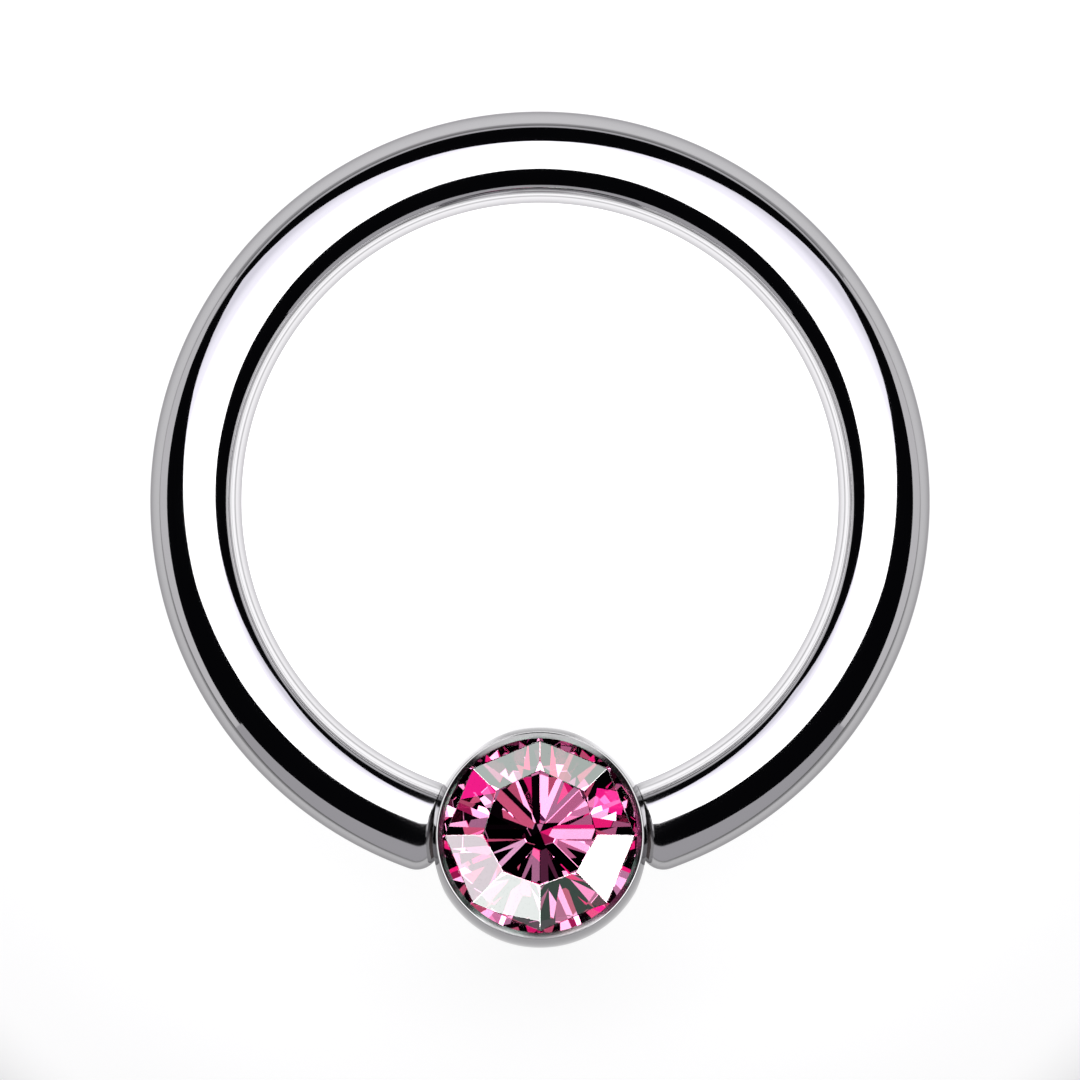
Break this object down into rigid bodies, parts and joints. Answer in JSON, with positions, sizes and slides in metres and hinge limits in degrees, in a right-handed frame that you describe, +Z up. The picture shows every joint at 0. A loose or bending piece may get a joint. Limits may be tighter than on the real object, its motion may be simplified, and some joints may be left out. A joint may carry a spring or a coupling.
{
  "type": "captive bead ring",
  "caption": "Round wire hoop of polished steel whose two rounded ends grip a dimpled bead; the bead is a cup that holds a round faceted pink stone under a rolled bezel rim.",
  "frame": {"origin": "middle of the bounding box on the surface that the ring lies on", "axes": "+Z up, away from that surface and out of the stone's face; -Y from the hoop's middle towards the bead; X along the line through the two wire ends"},
  "size_m": [0.0136, 0.0146, 0.0039],
  "materials": {
    "polished_wire": "mirror polished surgical steel wire with faint polishing lines",
    "polished_cup": "mirror polished steel, softer on the rolled rim, darker inside the seat",
    "pink_stone": "clear pink cubic zirconia with sharp flat polished facets"
  },
  "bodies": {
    "hoop": {"hoop": "polished_wire"},
    "bead": {"bead_cup": "polished_cup", "stone": "pink_stone"}
  },
  "joints": [
    {"name": "bead_spin", "type": "hinge", "parent": "hoop", "child": "bead", "pos_m": [0, -0.00535, 0.00192], "axis": [1, 0, 0], "continuous": true}
  ]
}
